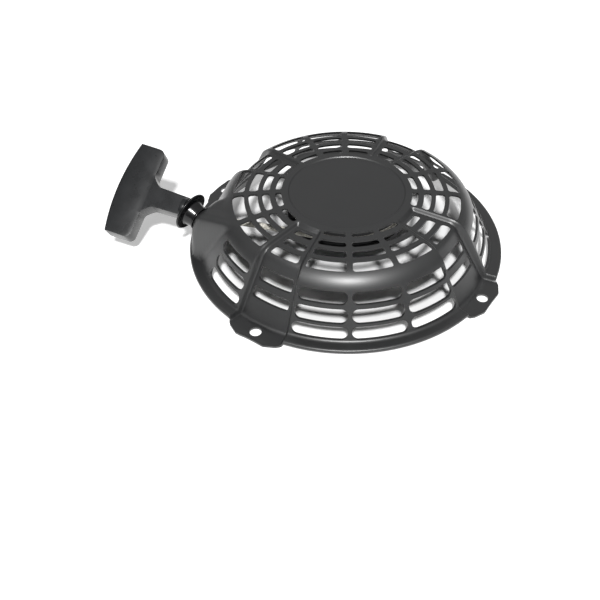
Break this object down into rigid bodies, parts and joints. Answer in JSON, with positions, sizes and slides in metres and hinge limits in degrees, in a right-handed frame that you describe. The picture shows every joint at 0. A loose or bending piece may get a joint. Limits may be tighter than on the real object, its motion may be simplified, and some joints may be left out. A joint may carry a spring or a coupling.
{
  "type": "recoil starter",
  "caption": "Pull-rope recoil starter for a small engine: pressed, slotted black steel case with four lugs, rope guide and T-handle.",
  "frame": {"origin": "on the reel's axis, in the plane of the undersides of the four mounting lugs", "axes": "+Z along the reel's axis, away from the engine, out of the crown of the case; +X through the middle of one lug"},
  "size_m": [0.2683, 0.2396, 0.0623],
  "materials": {
    "case": "satin",
    "guide": "gloss",
    "handle": "matte",
    "reel": "matte",
    "steel": "satin",
    "spring": "satin",
    "rope": "matte"
  },
  "bodies": {
    "case": {"starter_case": "case", "reel_post": "steel", "rope_guide": "guide", "guide_clip": "steel", "friction_spring": "spring", "screw_washer": "steel", "centre_screw": "steel"},
    "reel": {"reel": "reel", "reel_bush": "steel", "spring_cover": "steel", "recoil_spring": "spring", "rope_wound": "rope", "reel_knot": "rope", "pawl_pins": "steel"},
    "plate": {"ratchet_guide": "guide"},
    "pawl_a": {"pawl_a": "steel", "pawl_spring_a": "spring"},
    "pawl_b": {"pawl_b": "steel", "pawl_spring_b": "spring"},
    "handle": {"handle_grip": "handle", "rope_washer": "steel", "handle_knot": "rope", "handle_plug": "handle", "rope_run": "rope"}
  },
  "joints": [
    {"name": "reel_spin", "type": "hinge", "parent": "case", "child": "reel", "pos_m": [0, 0, 0.03], "axis": [0, 0, -1], "range_deg": [0, 1490], "stiffness_Nm_per_rad": 0.0135, "springref_deg": -630.25, "deforming": ["recoil_spring"]},
    {"name": "handle_pull", "type": "slide", "parent": "case", "child": "handle", "axis": [-0.959, -0.2516, 0.1305], "range_m": [0, 1.0012], "deforming": ["rope_run"]},
    {"name": "plate_turn", "type": "hinge", "parent": "reel", "child": "plate", "pos_m": [0, 0, 0.0141], "axis": [0, 0, 1], "range_deg": [0, 30], "stiffness_Nm_per_rad": 0.005},
    {"name": "pawl_a_swing", "type": "hinge", "parent": "reel", "child": "pawl_a", "pos_m": [0.019, 0, 0.0187], "axis": [0, 0, 1], "range_deg": [0, 40]},
    {"name": "pawl_b_swing", "type": "hinge", "parent": "reel", "child": "pawl_b", "pos_m": [-0.019, 0, 0.0187], "axis": [0, 0, 1], "range_deg": [0, 40]}
  ],
  "couplings": [
    {"joint": "handle_pull", "follows": "reel_spin", "m_per_rad": 0.0385},
    {"joint": "pawl_a_swing", "follows": "plate_turn", "ratio": 1.3333},
    {"joint": "pawl_b_swing", "follows": "plate_turn", "ratio": 1.3333}
  ]
}
